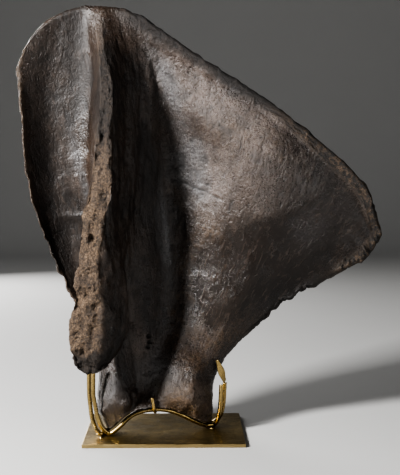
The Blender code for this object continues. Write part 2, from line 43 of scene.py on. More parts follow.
# Guide lines of the blade's outer face, front edge to rear edge. Each one climbs from the socket's
# front rim (level 0) to the upper border (level 8): level, x, y, z in millimetres.
bladeLines = {
    "frontEdge": [
        (0, -119, -62, 16), (1, -140, -48, 62), (2, -135, -36, 122), (3, -133, -22, 190),
        (4, -209, -16, 312), (5, -257, -22, 425), (6, -288, -30, 550), (7, -299, -34, 690),
        (7.6, -305, -32, 764), (8, -293, -27, 806)],
    "frontLip": [
        (0, -112, -70, 18), (1, -131, -68, 64), (2, -128, -52, 118), (3, -127, -24, 190),
        (4, -197, -4, 315), (5, -241, 2, 427), (6, -270, -4, 556), (7, -278, -10, 700),
        (8, -268, -22, 842)],
    "frontFossaFloor": [
        (0, -103, -75, 27), (1, -115, -80, 68), (2, -116, -62, 114), (3, -119, -26, 190),
        (4, -176, 6, 320), (5, -208, 17, 432), (6, -230, 18, 564), (7, -234, 12, 712),
        (8, -222, -12, 878)],
    "spineFrontFoot": [
        (0, -93, -77, 36), (1, -99, -84, 72), (2, -102, -70, 116), (3, -110, -30, 194),
        (4, -142, 6, 325), (5, -168, 14, 438), (6, -188, 12, 574), (7, -186, 6, 722),
        (8, -172, -8, 893)],
    "crestFrontEdge": [
        (0, -84, -77, 43), (1, -85, -82, 76), (2, -90, -70, 122), (2.6, -106, -58, 196),
        (2.85, -156, -116, 188), (3, -174, -145, 160), (3.4, -185, -150, 222), (3.7, -181, -151, 270),
        (4, -174, -150, 330),
        (5, -163, -130, 448), (6, -139, -109, 585), (7, -127, -82, 722), (7.6, -136, -48, 815),
        (8, -146, -14, 895)],
    "crestRearEdge": [
        (0, -75, -75, 49), (1, -72, -74, 80), (2, -78, -60, 128), (2.6, -92, -54, 202),
        (2.85, -132, -120, 188), (3, -139, -147, 148), (3.4, -129, -158, 228), (4, -132, -158, 335),
        (5, -121, -138, 450), (5.5, -103, -130, 518), (6, -106, -112, 586), (7, -104, -83, 722),
        (7.6, -124, -50, 815), (8, -128, -15, 896)],
    "flangeEdge": [
        (0, -65, -72, 54), (1, -63, -58, 84), (2, -68, -46, 134), (2.6, -80, -52, 206),
        (2.85, -98, -84, 200), (3, -98, -104, 179), (3.4, -71, -86, 245), (4, -78, -86, 330),
        (5, -98, -104, 446), (6, -88, -70, 584), (7, -86, -48, 722), (8, -104, -12, 894)],
    "slotBehindFlange": [
        (0, -53, -69, 58), (1, -54, -43, 88), (2, -58, -36, 138), (2.7, -70, -44, 208),
        (3.4, -82, -44, 250), (4, -86, -44, 330), (5, -80, -52, 446), (6, -66, -30, 584),
        (7, -64, -18, 720), (8, -82, -9, 889)],
    "spineRearFoot": [
        (0, -38, -66, 61), (1, -34, -41, 92), (2, -36, -32, 140), (3, -38, -26, 214),
        (4, -40, -12, 326), (5, -42, -2, 446), (6, -28, 6, 580), (7, -30, 8, 718),
        (8, -58, -6, 880)],
    "troughFloor": [
        (0, -18, -62, 60), (1, -10, -48, 90), (2, -4, -34, 142), (3, 12, -2, 208),
        (4, 24, 22, 316), (5, 22, 34, 440), (6, 10, 36, 575), (7, -6, 26, 710), (8, -24, -4, 860)],
    "troughRearBank": [
        (0, 8, -57, 55), (1, 22, -64, 86), (2, 32, -46, 138), (3, 46, -8, 202),
        (4, 64, 8, 302), (5, 78, 14, 425), (6, 78, 12, 558), (7, 64, 4, 690), (8, 34, -6, 820)],
    "swellNearSide": [
        (0, 32, -51, 47), (1, 50, -66, 79), (2, 60, -44, 130), (3, 79, -8, 193),
        (4, 108, -6, 285), (5, 136, -12, 403), (6, 152, -18, 528), (7, 150, -22, 642),
        (8, 130, -12, 756)],
    "swellCrest": [
        (0, 55, -43, 36), (1, 72, -54, 69), (2, 77, -34, 118), (3, 101, -6, 178),
        (4, 144, -12, 264), (5, 190, -24, 366), (6, 228, -34, 475), (7, 244, -36, 584),
        (8, 234, -14, 687)],
    "rearSlope": [
        (0, 68, -36, 28), (1, 85, -38, 63), (2, 87, -20, 108), (3, 114, 0, 166),
        (4, 170, 0, 242), (5, 229, -6, 318), (6, 286, -14, 408), (7, 326, -18, 503),
        (8, 346, -8, 598)],
    "rearCornerSlope": [
        (0, 80, -29, 22), (1, 93, -26, 60), (2, 93, -10, 102), (3, 121, 8, 159),
        (4, 184, 11, 230), (5, 246, 10, 291), (6, 312, 8, 352), (7, 374, 8, 424),
        (8, 434, 10, 512)],
    "rearEdge": [
        (0, 90, -22, 19), (1, 98, -13, 60), (2, 98, -1, 97), (3, 125, 14, 152),
        (4, 193, 20, 220), (5, 256, 24, 268), (6, 322, 27, 306), (7, 392, 30, 346),
        (7.6, 447, 32, 377), (8, 469, 32, 418)],
}

# How thick the bone is behind that face, level by level, at five places across it.
bladeThickness = {
    "levels": (0, 1, 2, 3, 4, 5, 6, 7, 8),
    "across": (0.0, 2.0, 6.0, 12.0, 15.0),
    "mm": [
        (34, 44, 46, 34, 11, 8, 8, 9, 14),
        (66, 76, 66, 44, 12, 8, 8, 10, 20),
        (98, 92, 76, 62, 36, 26, 21, 20, 24),
        (88, 78, 58, 36, 18, 13, 12, 13, 20),
        (34, 40, 42, 30, 22, 17, 14, 15, 18)],
}

blade = {
    "columns": (8, 6, 12, 24, 22, 18, 12, 14, 14, 14, 14, 14, 14, 12, 12),
    "rows": (22, 28, 48, 62, 50, 48, 42, 40),
    "lift": 7 * mm,
    "layers": 7,
    "socketDish": 9 * mm,
    "edgeRounding": 0.42,
    # large forms, the same as in the solid; lumps have height, size of a feature, seed
    "crestLump": (7.5 * mm, 21 * mm, 1),
    "crestRib": (4.0 * mm, 10 * mm, 7),
    "ribStretch": (1.0, 1.0, 0.3),
    "rimLump": (3.5 * mm, 21 * mm, 2),
    "lobeLump": (3.0 * mm, 17 * mm, 3),
    "swell": (1.6 * mm, 95 * mm, 4),
    "sideRag": (3.6 * mm, 21 * mm, 5),
    "topRag": (3.6 * mm, 21 * mm, 6),
    "sideLoss": 1.08 * mm,
    "border": 2.5 * mm,
    "innerRidges": (2.5 * mm, 4),
    # height and count per guide line; height and half width in guide lines; depth, level, half width
    "flute": (2.4 * mm, 0.8),
    "neckStrip": (4.5 * mm, 0.5),
    "neckGroove": (3.0 * mm, 0.3),
    "brokenEnd": (9 * mm, 3.06, 0.08),
    "seam": (2.4 * mm, 458 * mm, 9 * mm),
    # bites out of an edge: level, half width in levels, depth
    "rearBites": ((4.62, 0.10, 5 * mm), (5.05, 0.13, 8 * mm), (5.55, 0.10, 7 * mm), (5.85, 0.14, 6 * mm)),
    "frontBites": ((4.1, 0.10, 5 * mm), (4.45, 0.12, 4 * mm), (4.8, 0.10, 5 * mm), (5.3, 0.14, 3 * mm)),
    # fine forms: the fan's middle lies below the socket, and fibres run away from it
    "fanMiddle": (-20 * mm, -60 * mm),
    "fanReach": 0.5,
    "fanSqueeze": 0.26,
    # how far the spine's front foot moves towards the crest, and outwards
    "footShift": (25 * mm, -12 * mm),
    # height, size of a feature, seed
    "fibre": (0.60 * mm, 5.0 * mm, 21),
    "wrinkle": (0.35 * mm, 8 * mm, 23),
    "sponge": (1.8 * mm, 5.5 * mm, 11),
    "ripple": (0.8 * mm, 5.0 * mm, 25),
    "rippleStretch": (0.3, 1.0, 1.0),
    "endCrag": (6.0 * mm, 13 * mm, 71),
    "pore": (2.2 * mm, 8 * mm, 15),
    "dent": (0.9 * mm, 26 * mm, 31),
    "innerWave": (1.1 * mm, 26 * mm, 51),
    "innerFibre": (1.2 * mm, 12 * mm, 52),
    "edgeGrain": (1.3 * mm, 10 * mm, 61),
    "sideWear": (1.1 * mm, 9 * mm, 41),
    "topWear": (1.2 * mm, 9 * mm, 42),
    # depth, distance between the lines, seed, width
    "crease": (0.70 * mm, 15 * mm, 24, 0.16),
    "crevice": (1.5 * mm, 5.0 * mm, 12, 0.26),
    "creviceStretch": (1.0, 1.0, 0.55),
    "edgeCrease": (2.4 * mm, 9 * mm, 62, 0.3),
    # places x, z along or at them, then depth and half width
    "crackLine": ((14, 539), (40, 532), (66, 519), (88, 513), (116, 497)),
    "crackSize": (1.8 * mm, 2.4 * mm),
    "nerveHoles": ((-33, 206), (-31, 193), (-35, 183)),
    "nerveHoleSize": (7 * mm, 3.6 * mm),
    # half width in columns, level and half width in levels, the cavity's depth and grain, where its painted
    # shade begins and is full
    "undersideAt": (2.88, 0.14),
    "endCragAt": (1.2, 2.98, 0.16),
    "cavityAt": (0.55, 3.12, 0.12),
    "cavity": (6 * mm, 8 * mm, 73),
    "cavityFray": (0.07, 9 * mm, 72),
    "cavityPaintedShade": (3.29, 3.20),
    # how deep the fine relief lies where its painted shade begins, and where that shade is darkest
    "paintedShadeDepth": (-0.2 * mm, -2.4 * mm),
    # ovals on the face in mm and degrees: middle x and z, half length, half width, turn, weight
    "swells": (
        (173, 552, 150, 50, 54, 6), (265, 430, 150, 60, 30, -8), (82, 668, 110, 36, -38, 12),
        (88, 345, 140, 52, 100, 4), (-180, 790, 130, 22, 92, -5), (-230, 625, 210, 30, 93, 5),
        (-176, 520, 70, 9, 104, 3)),
    # tone ovals: the stain ones are mostly painted shade, the pale and cool ones painted light and painted
    # highlight, the warm ones rust
    "stainsAndPaintedLight": {
        # stain ovals: mostly painted shade where the face turns away from the key lamp, in the trough, on the
        # spine's shaded flank, over the fossa and over spots that would catch a highlight; one small oval is
        # a real dark blotch
        "stain": (
            (305, 412, 205, 88, 26, 1.7), (165, 340, 85, 56, 35, 1.3), (136, 290, 30, 30, 0, 1.0),
            (-24, 515, 195, 24, 100, 1.4), (-120, 715, 110, 22, 86, 1.3), (-226, 625, 215, 40, 95, 1.0),
            (-100, 85, 40, 30, 90, 0.8), (-228, 400, 130, 42, 97, 0.75), (-184, 810, 120, 30, 92, 1.6),
            (115, 300, 120, 60, 75, 0.6)),
        # cool ovals: painted highlight beside the spine's shadow and on the spine's front flank, and painted
        # light low on the neck where the spine shades it
        "coolPaintedLight": (
            (48, 560, 105, 42, 104, 1.3), (0, 765, 70, 24, -68, 1.2), (-180, 560, 120, 14, 104, 0.9),
            (-30, 130, 60, 45, 0, 0.8)),
        # pale ovals: painted highlight along the bank's upper border, painted light on the neck strip and the
        # right lobe where they lie in shade, and the bank's paler tone
        "paleAndPaintedLight": (
            (-57, 215, 85, 16, 100, 1.4), (-95, 95, 40, 25, 90, 0.3), (85, 62, 50, 45, 0, 1.2),
            (152, 590, 130, 80, 50, 1.1), (40, 755, 80, 38, -38, 1.3), (110, 690, 80, 36, -38, 1.1)),
        "warm": (
            (85, 380, 85, 40, 95, 1.4), (95, 255, 100, 65, 70, 1.7), (70, 160, 60, 50, 0, 0.6),
            (120, 640, 60, 30, -40, 0.5), (230, 600, 70, 40, -40, 0.5)),
    },
    # how much grain frays the ovals' borders, and its size; the ovals' sum where each oval's tone, stain,
    # painted shade and painted light alike, begins and is full
    "stainFray": (0.30, 48 * mm, 81),
    "stainRange": (0.15, 1.0),
    "innerGrey": (0.8, 120 * mm, 91),
    # what polish and the corner take off the stain's painted shade, how much painted shade the rims get, how
    # sleek the neck is
    "stainOff": (0.5, 0.9),
    "rimPaintedShade": 0.8,
    "neckSleek": 0.4,
    # how much of the fine relief these finishes take away
    "calmed": {"rough": 0.6, "polish": 0.5, "sleek": 0.5},
    # finishes that are sums of others
    "sums": {
        "rough": {"crumbly": 1.0, "rims": 0.8, "frontRim": 0.5, "lobes": 0.35},
        "tan": {"broken": 1.0, "frontRim": 0.5, "corner": 0.8, "lobes": 0.6},
        "polish": {"fossa": 1.0, "wornLobes": 0.7},
        "porous": {"lobes": 1.0, "rims": 0.5, "corner": 1.2, "paleAndPaintedLight": 0.35}},
}

# Where each finish lies: a stretch of columns, counted in guide lines from the front edge, and one of
# levels. It is 0 before the first number, 1 between the middle two and 0 past the last.
fromStart, toEnd = (-2.0, -1.0), (20.0, 21.0)
finishStretches = {
    "broken": ((3.80, 4.05, 4.95, 5.25), (2.75, 2.95, 7.4, 8.0)),
    "underside": ((3.4, 4.0, 5.8, 6.2), (*fromStart, *toEnd)),
    "cavity": ((3.7, 4.1, 5.4, 5.9), (2.4, 2.7, *toEnd)),
    "flank": ((5.05, 5.5, 7.4, 8.6), (2.5, 3.1, 7.0, 8.0)),
    "upperRim": ((5, 8, *toEnd), (7.72, 7.95, *toEnd)),
    "cornerBelow": ((14.6, 14.95, *toEnd), (6.3, 7.2, *toEnd)),
    "cornerAbove": ((11.6, 13.0, *toEnd), (7.68, 7.86, *toEnd)),
    "frontRim": ((*fromStart, 0.05, 0.45), (3.4, 4.0, *toEnd)),
    "lowRearRim": ((14.4, 15.0, *toEnd), (3.4, 4.2, 5.8, 6.6)),
    "lobes": ((*fromStart, *toEnd), (*fromStart, 1.0, 2.1)),
    "neck": ((7.5, 8.6, *toEnd), (1.6, 2.4, 4.3, 5.3)),
    "fossa": ((1.4, 2.2, 3.5, 3.95), (3.4, 4.2, 6.3, 7.3)),
    "wornLobes": ((0.2, 1.0, 12.0, 13.5), (*fromStart, 1.6, 2.4)),
    "pebbled": ((7.8, 8.8, 13.4, 14.4), (5.4, 6.4, *toEnd)),
    "rearFace": ((7.9, 8.8, *toEnd), (*fromStart, *toEnd)),
}


# slopes: zero where the values turn, else the harmonic mean of the rises on both sides
def curveSlopes(places, values):
    rises = np.diff(values, axis=0) / np.diff(places).reshape((-1,) + (1,) * (values.ndim - 1))
    before, after = rises[:-1], rises[1:]
    sameWay = before * after > 0
    total = np.where(sameWay, before + after, 1.0)
    return np.concatenate([rises[:1], np.where(sameWay, 2 * before * after / total, 0.0), rises[-1:]])


# cubic Hermite curve through every value, with the slopes above
def smoothThrough(places, values, wanted):
    places, values = np.asarray(places, float), np.asarray(values, float)
    slopes = curveSlopes(places, values)
    left = np.clip(np.searchsorted(places, wanted, side="right") - 1, 0, len(places) - 2)
    width = places[left + 1] - places[left]
    part = (wanted - places[left]) / width
    shape = (-1,) + (1,) * (values.ndim - 1)
    part, width = part.reshape(shape), width.reshape(shape)
    return (values[left] * (1 + 2 * part) * (1 - part) ** 2
            + values[left + 1] * part ** 2 * (3 - 2 * part)
            + slopes[left] * width * part * (1 - part) ** 2
            + slopes[left + 1] * width * part ** 2 * (part - 1))


# places between 0 and the number of guide steps, as many in each step as its count says
def spreadPlaces(counts):
    places = [np.arange(count) / count + station for station, count in enumerate(counts)]
    return np.append(np.concatenate(places), len(counts))


# exp(-((v - centre) / width)^2)
def hump(values, centre, width):
    return np.exp(-((values - centre) / width) ** 2)


# 0 before start, 1 after end, smooth in between; start may lie above end
def ramp(values, start, end):
    part = np.clip((values - start) / (end - start), 0, 1)
    return part * part * (3 - 2 * part)


# ramps up from start to full and down from fade to end, 1 in between
def band(values, start, full, fade, end):
    return ramp(values, start, full) * ramp(values, end, fade)


# each vector divided by its own length
def unit(vectors):
    return vectors / np.maximum(np.linalg.norm(vectors, axis=-1, keepdims=True), 1e-12)


# random value on each corner of a cube grid, blended smoothly in between: -1 to 1
def grain(points, size, seed):
    scaled = points / size + seed * 17.31
    cell = np.floor(scaled)
    part = scaled - cell
    part = part * part * (3 - 2 * part)
    total = np.zeros(points.shape[:-1])
    for corner in np.ndindex(2, 2, 2):
        mixed = (cell + corner) @ np.array([127.1, 311.7, 74.7]) + seed * 3.7
        value = np.modf(np.abs(np.sin(mixed)) * 43758.5453)[0]
        total += np.prod(np.where(np.array(corner) == 1, part, 1 - part), axis=-1) * (2 * value - 1)
    return total


# grain at halving sizes, each layer half as strong
def layeredGrain(points, size, seed, layers=3):
    return sum(grain(points, size / 2 ** n, seed + n) / 2 ** n for n in range(layers))


# narrow winding lines where layered grain crosses zero: 1 on the line, 0 away from it
def windingLines(points, size, seed, width):
    return 1 - ramp(np.abs(layeredGrain(points, size, seed)), 0, width)


# round pits: 1 at the middle of a pit, 0 outside; one pit at a random spot and size in each cube
def pits(points, size, seed):
    scaled = points / size + seed * 9.73
    cell = np.floor(scaled)
    depth = np.zeros(points.shape[:-1])
    for step in np.ndindex(3, 3, 3):
        home = cell + np.array(step) - 1
        key = home @ np.array([12.9898, 78.233, 37.719]) + seed
        throw = [np.modf(np.abs(np.sin(key * k)) * 24634.6345)[0] for k in (1.0, 1.7, 2.3, 3.1)]
        reach = np.linalg.norm(scaled - home - np.stack(throw[:3], -1), axis=-1)
        radius = 0.12 + 0.38 * throw[3] ** 2
        depth = np.maximum(depth, (1 - ramp(reach, radius * 0.3, radius)) * (0.4 + 0.6 * throw[3]))
    return depth


# grain of a blade setting (height, size, seed)
def lumps(points, setting):
    height, size, seed = blade[setting]
    return height * grain(points, size, seed)


# layered grain of a blade setting (height, size, seed)
def relief(points, setting):
    height, size, seed = blade[setting]
    return height * layeredGrain(points, size, seed)


# winding lines of a blade setting (depth, distance, seed, width)
def creases(points, setting):
    depth, size, seed, width = blade[setting]
    return depth * windingLines(points, size, seed, width)


# the guide lines in metres, each one smooth through its points, at the wanted levels
def bladeLineArray(rows):
    lines = [np.array(points, float) for points in bladeLines.values()]
    return np.array([smoothThrough(line[:, 0], line[:, 1:] * mm, rows) for line in lines])


# the column at which a guide line runs
def place(name):
    return list(bladeLines).index(name)


# the face without the spine: the lines between the spine's feet are spread evenly between them
def groundLines(lines):
    first, last = place("spineFrontFoot"), place("spineRearFoot")
    share = np.linspace(0, 1, last - first + 1)[:, None, None]
    lines = lines.copy()
    lines[first:last + 1] = lines[first] * (1 - share) + lines[last] * share
    return lines


# square to the face: the cross product of its slopes along columns and levels, one long
def unitNormals(face):
    return unit(np.cross(np.gradient(face, axis=0), np.gradient(face, axis=1)))


# angle round the fan's middle, distance from it squeezed so that grain stretches along it, and depth
def fanPlaces(points):
    x, z = points[..., 0] - blade["fanMiddle"][0], points[..., 2] - blade["fanMiddle"][1]
    turn, reach = np.arctan2(x, z) * blade["fanReach"], np.hypot(x, z) * blade["fanSqueeze"]
    return np.stack([turn, reach, points[..., 1]], -1)


# bells exp(-(along / length)^2 - (across / width)^2) over turned ovals on the face, each times its weight
def ovals(points, forms):
    total = np.zeros(points.shape[:-1])
    for x, z, length, width, turn, weight in forms:
        right, up = points[..., 0] - x * mm, points[..., 2] - z * mm
        angle = math.radians(turn)
        along = right * math.cos(angle) + up * math.sin(angle)
        across = up * math.cos(angle) - right * math.sin(angle)
        total += weight * hump(along, 0, length * mm) * hump(across, 0, width * mm)
    return total


# distance from the nearest stretch of a line through places x, z
def awayFrom(points, line):
    nearest = np.full(points.shape[:-1], 1.0)
    for start, end in zip(np.array(line[:-1]) * mm, np.array(line[1:]) * mm):
        offset = points[..., [0, 2]] - start
        share = np.clip(offset @ (end - start) / np.sum((end - start) ** 2), 0, 1)
        nearest = np.minimum(nearest, np.linalg.norm(offset - share[..., None] * (end - start), axis=-1))
    return nearest


# sum of the zones that a finish is made of, each times its share, kept between 0 and 1
def zoneSum(zones, finish):
    return np.clip(sum(share * zones[name] for name, share in blade["sums"][finish].items()), 0, 1)


# where each finish of the bone lies, 0 to 1 over columns c and levels r
def boneZones(c, r):
    zones = {
        name: band(c, *columns) * band(r, *levels) for name, (columns, levels) in finishStretches.items()}
    broken, underside = zones["broken"], zones["underside"] * hump(r, *blade["undersideAt"])
    zones["crumbly"] = np.clip(broken + underside, 0, 1)
    zones["broken"] = np.clip(broken * (0.42 + 0.58 * ramp(r, 6.4, 5.0)) + underside, 0, 1)  # paler low down
    zones["corner"] = np.maximum(zones["cornerBelow"], zones["cornerAbove"])
    zones["rims"] = np.clip(zones["upperRim"] + zones["corner"] + zones["lowRearRim"], 0, 1)
    zones["lobes"] = zones["lobes"] * (0.15 + 0.85 * ramp(c, 8.5, 10.5))  # mostly the rear lobe
    for finish in ("rough", "tan", "polish"):
        zones[finish] = zoneSum(zones, finish)
    return zones


# the same forms over the outer face as in the solid: broken crest, flutes, neck strip, lumps, seam
def largeRelief(face, c, r):
    crestMid = place("crestFrontEdge") + 0.5
    stripMid = place("slotBehindFlange") + 0.7
    crest = hump(c, crestMid, 1.0) * np.clip(r - 2.6, 0, 1) * np.clip(7.3 - r, 0, 1)
    flank = hump(c, place("slotBehindFlange"), 1.5) * np.clip(r - 2.2, 0, 1) * np.clip(7.6 - r, 0, 1)
    strip = ramp(r, 2.1, 2.6) * ramp(r, 5.0, 4.2)
    rim = np.maximum(ramp(r, 7.66, 7.8) * ramp(c, 6, 9), ramp(c, 14.1, 14.6) * ramp(r, 5.6, 6.4))
    inFossa = np.clip(c - 0.3, 0, 1) * np.clip(3.6 - c, 0, 1)
    breakDepth, breakPlace, breakWidth = blade["brokenEnd"]
    fluteHeight, flutesPerLine = blade["flute"]
    stripHeight, stripWidth = blade["neckStrip"]
    grooveDepth, grooveWidth = blade["neckGroove"]
    seamHeight, seamPlace, seamWidth = blade["seam"]
    height = crest * lumps(face, "crestLump")
    height += (crest + 0.6 * flank) * lumps(face * blade["ribStretch"], "crestRib")
    height -= breakDepth * hump(c, crestMid + 0.3, 0.7) * hump(r, breakPlace, breakWidth)
    height += fluteHeight * flank * np.cos(2 * math.pi * flutesPerLine * (c - crestMid))
    height += stripHeight * strip * hump(c, stripMid, stripWidth)
    height -= grooveDepth * strip * hump(c, stripMid + 0.9, grooveWidth)
    height += (blade["border"] + lumps(face, "rimLump")) * rim
    height += np.clip(2.2 - r, 0, 1) * lumps(face, "lobeLump")
    height += seamHeight * inFossa * hump(face[..., 2], seamPlace, seamWidth)
    return height + np.clip(r - 3, 0, 1) * lumps(face, "swell")


# bell round a level on the middle of the crest: half width in columns, level, half width in levels
def crestSpot(c, r, setting):
    across, level, along = blade[setting]
    return hump(c, place("crestFrontEdge") + 0.5, across) * hump(r, level, along)


# fibres, wrinkles and creases along the fan, sponge and crevices where the bone is broken, pores, holes
def fineRelief(face, c, r, zones):
    fan = fanPlaces(face)
    smooth = math.prod(1 - share * zones[name] for name, share in blade["calmed"].items())
    height = relief(fan, "fibre") * (0.75 + 1.1 * zones["flank"]) * smooth
    height += mm * ovals(face, blade["swells"]) * ramp(r, 0.6, 1.2)
    height += relief(face, "wrinkle") * smooth
    height += zones["coolPaintedLight"] * relief(face * blade["rippleStretch"], "ripple")
    crackDepth, crackWidth = blade["crackSize"]
    behindSpine = ramp(c, 6.0, 7.0)
    height -= crackDepth * hump(awayFrom(face, blade["crackLine"]), 0, crackWidth) * behindSpine
    height -= creases(fan, "crease") * smooth
    height += zones["rough"] * relief(face, "sponge")
    height -= zones["rough"] * creases(face * blade["creviceStretch"], "crevice")
    poreDepth, poreSize, poreSeed = blade["pore"]
    height -= poreDepth * zoneSum(zones, "porous") * pits(face, poreSize, poreSeed)
    height += crestSpot(c, r, "endCragAt") * relief(face, "endCrag")
    cavityDepth, cavitySize, cavitySeed = blade["cavity"]
    height -= cavityDepth * crestSpot(c, r, "cavityAt") * (0.6 + 0.8 * grain(face, cavitySize, cavitySeed))
    dentDepth, dentSize, dentSeed = blade["dent"]
    height -= dentDepth * np.clip(grain(face, dentSize, dentSeed), 0, 1)
    holeDepth, holeRadius = blade["nerveHoleSize"]
    for x, z in blade["nerveHoles"]:
        reach = np.hypot(face[..., 0] - x * mm, face[..., 2] - z * mm)
        height -= holeDepth * hump(reach, 0, holeRadius) * ramp(c, 5.5, 6.5)
    return np.where(r < 0.5, np.minimum(height, 0.4 * mm), height)  # the socket's rim stays clear of the bars


# pulls the outermost part of the face inwards where the thin edges are bitten or worn
def breakEdges(face, c, r):
    for edge, bites, away in ((0, blade["frontBites"], c), (-1, blade["rearBites"], c[-1] - c)):
        line = face[edge]
        wear = lumps(line, "sideRag") - blade["sideLoss"] + relief(line, "sideWear")
        depth = sum(size * hump(r, level, width) for level, width, size in bites)
        depth = depth - wear * np.clip(r - 3.4, 0, 1)
        inward = unit(face[int(np.argmin(np.abs(away - 1.0)))] - line)
        share = np.interp(away, (0, 0.33, 0.66, 1.0), (1, 0.6, 0.25, 0))
        face = face + share[:, None, None] * (inward * depth[:, None])[None]
    top = face[:, -1]
    wear = lumps(top, "topRag") + relief(top, "topWear")
    away = unit(top - face[:, -4]) * (wear * np.clip(c / 4, 0, 1))[:, None]
    return face + ramp(r, 7.7, 8.0)[None, :, None] * away[:, None]


# points from the outer face to the inner one, bulged outwards round the edges, dished in the socket
def boneLattice(c, r):
    lines = bladeLineArray(r)
    guides = np.arange(len(lines))
    zones = boneZones(c[:, None], r[None, :])
    raised = lines.copy()
    shift = np.array([*blade["footShift"], 0.0])
    raised[place("spineFrontFoot")] += shift * band(r, 3.8, 4.8, 7.3, 8.0)[:, None]
    outer = smoothThrough(guides, raised, c)
    outer = outer + unitNormals(outer) * largeRelief(outer, c[:, None], r[None, :])[..., None]
    fray, fraySize, fraySeed = blade["stainFray"]
    for name, forms in blade["stainsAndPaintedLight"].items():
        spread = ovals(outer, forms) + fray * layeredGrain(outer, fraySize, fraySeed + len(forms))
        zones[name] = ramp(spread, *blade["stainRange"]) * (1 - zones["broken"] * ramp(r, 5.8, 4.8))
    # the stain zone is mostly painted shade: polish takes some off where the flank catches its highlight, the
    # crusted corner keeps little, and the rims get painted shade of their own
    stain, corner = zones["stain"], zones["corner"]
    polishOff, cornerOff = blade["stainOff"]
    zones["sleek"] = zones["rearFace"] * np.maximum(stain, blade["neckSleek"] * zones["neck"])
    rimPaintedShade = blade["rimPaintedShade"] * (zones["rims"] - corner)
    stain = np.maximum(stain * (1 - polishOff * zones["polish"]), rimPaintedShade)
    zones["stain"] = stain * (1 - cornerOff * corner)
    fine = fineRelief(outer, c[:, None], r[None, :], zones)
    outer = breakEdges(outer + unitNormals(outer) * fine[..., None], c, r)
    ground = breakEdges(smoothThrough(guides, groundLines(lines), c), c, r)

    backwards = np.array([0.0, 1.0, 0.0])
    across = [smoothThrough(bladeThickness["levels"], np.array(row) * mm, r) for row in bladeThickness["mm"]]
    depth = smoothThrough(bladeThickness["across"], np.array(across), c)
    ridgeHeight, ridgeCount = blade["innerRidges"]
    ridges = np.cos(c / len(lines) * 2 * math.pi * ridgeCount)[:, None]
    depth = depth + ridgeHeight * np.clip((r - 3.5) / 2, 0, 1)[None, :] * (ridges + 1) / 2
    inner = ground + depth[..., None] * backwards
    innerFine = relief(inner, "innerWave") + relief(fanPlaces(inner), "innerFibre")
    inner = inner + innerFine[..., None] * backwards

    edge = np.zeros_like(ground)
    edge[0] += ground[0] - ground[1]
    edge[-1] += ground[-1] - ground[-2]
    edge[:, -1] += ground[:, -1] - ground[:, -2]
    edge = unit(edge)

    share = np.linspace(0, 1, blade["layers"])[:, None, None, None]
    roundness = 4 * share * (1 - share)
    lattice = outer * (1 - share) + inner * share
    lattice += roundness * blade["edgeRounding"] * edge * depth[..., None]
    rough = relief(lattice, "edgeGrain") - creases(lattice, "edgeCrease")
    lattice += (roundness[..., 0] * rough)[..., None] * edge
    dish = blade["socketDish"] * np.sin(math.pi * c / c[-1])[:, None] ** 0.7
    lattice[:, :, 0] += roundness[:, :, 0] * unit(outer[:, 1] - outer[:, 0]) * dish
    # painted shade in the sunk fine relief (lighter on the broken crest) and in the broken end's cavity
    sunkShade = ramp(fine - mm * ovals(outer, blade["swells"]), *blade["paintedShadeDepth"]) * (1 - 0.45 * zones["broken"])
    fray, fraySize, fraySeed = blade["cavityFray"]
    cavityLevels = r[None, :] + fray * grain(outer, fraySize, fraySeed)
    cavity = zones["cavity"] * ramp(cavityLevels, *blade["cavityPaintedShade"])
    zones["paintedHollowShade"] = np.maximum(sunkShade, 0.92 * cavity)
    return lattice + np.array([0.0, 0.0, blade["lift"]]), zones


# four corners of each cell of a grid of point numbers
def quads(grid):
    return np.stack([grid[:-1, :-1], grid[1:, :-1], grid[1:, 1:], grid[:-1, 1:]], -1).reshape(-1, 4)


# the inner side on every second point; cells at its border take in the border points they span
def widerFaces(index):
    low = index[::2, ::2]
    a, b, d, e = low[:-1, :-1], low[1:, :-1], low[1:, 1:], low[:-1, 1:]
    bottom, top = index[1::2, 0], index[1::2, -1]
    left, right = index[0, 1::2], index[-1, 1::2]
    mid = slice(1, -1)
    faces = np.stack([a, b, d, e], -1)[mid, mid].reshape(-1, 4).tolist()
    for border in (
            (a[mid, 0], bottom[mid], b[mid, 0], d[mid, 0], e[mid, 0]),
            (a[mid, -1], b[mid, -1], d[mid, -1], top[mid], e[mid, -1]),
            (a[0, mid], b[0, mid], d[0, mid], e[0, mid], left[mid]),
            (a[-1, mid], b[-1, mid], right[mid], d[-1, mid], e[-1, mid])):
        faces += np.stack(border, -1).tolist()
    faces += [
        [a[0, 0], bottom[0], b[0, 0], d[0, 0], e[0, 0], left[0]],
        [a[-1, 0], bottom[-1], b[-1, 0], right[0], d[-1, 0], e[-1, 0]],
        [a[0, -1], b[0, -1], d[0, -1], top[0], e[0, -1], left[-1]],
        [a[-1, -1], b[-1, -1], right[-1], d[-1, -1], top[-1], e[-1, -1]]]
    return [face[::-1] for face in faces]


# an object at the origin whose mesh has these points and faces
def newPiece(name, points, faces, material):
    mesh = bpy.data.meshes.new(name)
    mesh.from_pydata(points.tolist(), [], faces)
    mesh.update()
    mesh.shade_smooth()
    mesh.materials.append(material)
    piece = bpy.data.objects.new(name, mesh)
    bpy.context.scene.collection.objects.link(piece)
    return piece


# one number for each point of the mesh, for the material to read
def addValues(mesh, name, values):
    layer = mesh.attributes.new(name, "FLOAT", "POINT")
    layer.data.foreach_set("value", np.ascontiguousarray(values, dtype=np.float32).ravel())


